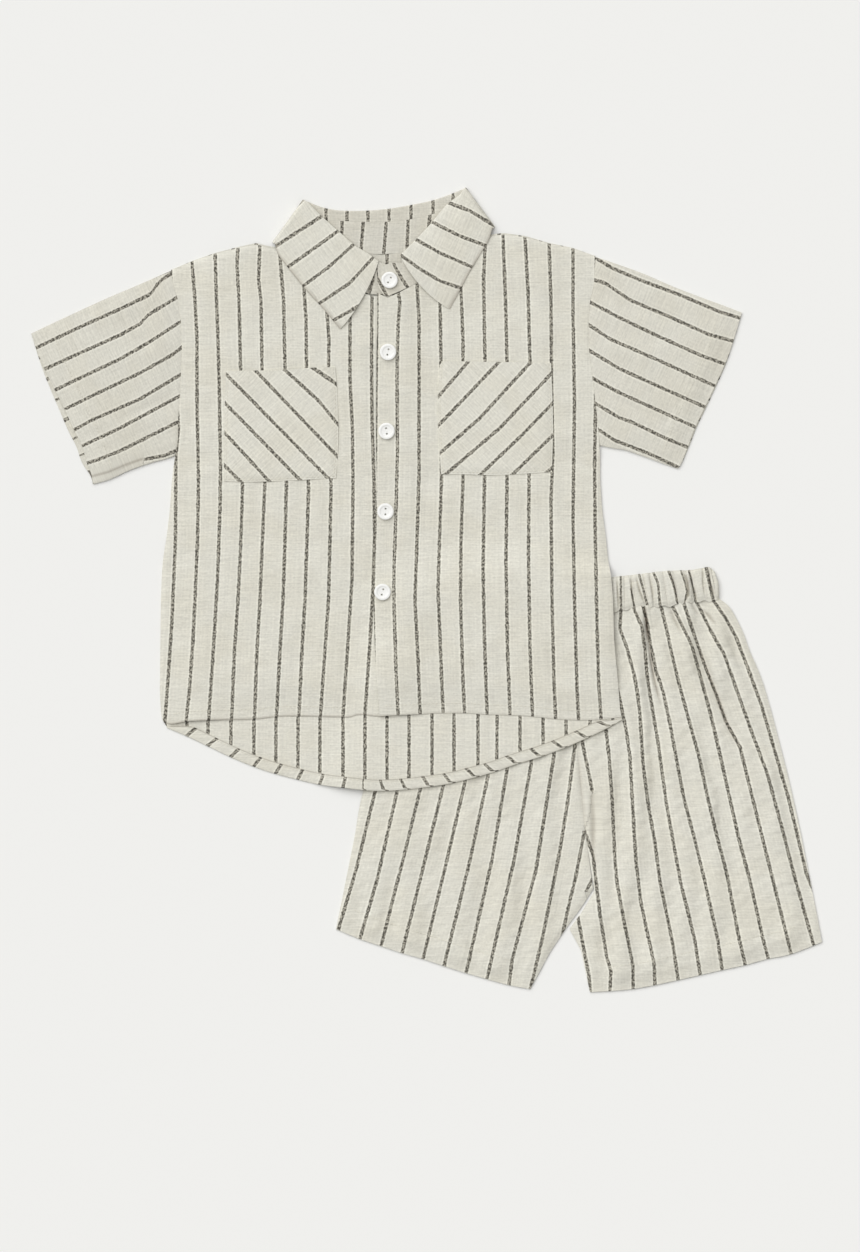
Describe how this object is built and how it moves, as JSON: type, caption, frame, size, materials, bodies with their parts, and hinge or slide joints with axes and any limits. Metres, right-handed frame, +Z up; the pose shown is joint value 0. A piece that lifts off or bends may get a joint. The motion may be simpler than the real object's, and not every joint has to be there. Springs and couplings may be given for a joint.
{
  "type": "shirt and shorts set",
  "caption": "Short-sleeved button shirt with collar and patch pockets, laid flat over shorts with a gathered waistband, in one striped cloth.",
  "frame": {"origin": "centre of the set's bounding box in plan, on the surface it lies on", "axes": "+X across the shirt to the right in the picture, +Y from the hems up to the collar, +Z up from the surface through the layers"},
  "size_m": [0.6169, 0.6265, 0.0114],
  "materials": {
    "striped_cloth": "matt plain weave with fine dark stripes",
    "button": "gloss"
  },
  "bodies": {
    "root": {"shirt_back": "striped_cloth", "shirt_front_left": "striped_cloth", "shirt_front_right": "striped_cloth", "sleeve_left": "striped_cloth", "sleeve_right": "striped_cloth", "collar_stand": "striped_cloth", "collar_leaf": "striped_cloth", "pocket_left": "striped_cloth", "pocket_right": "striped_cloth", "button_1": "button", "button_2": "button", "button_3": "button", "button_4": "button", "button_5": "button", "waistband": "striped_cloth", "shorts_front_left": "striped_cloth", "shorts_front_right": "striped_cloth", "shorts_back_left": "striped_cloth", "shorts_back_right": "striped_cloth"}
  },
  "joints": []
}
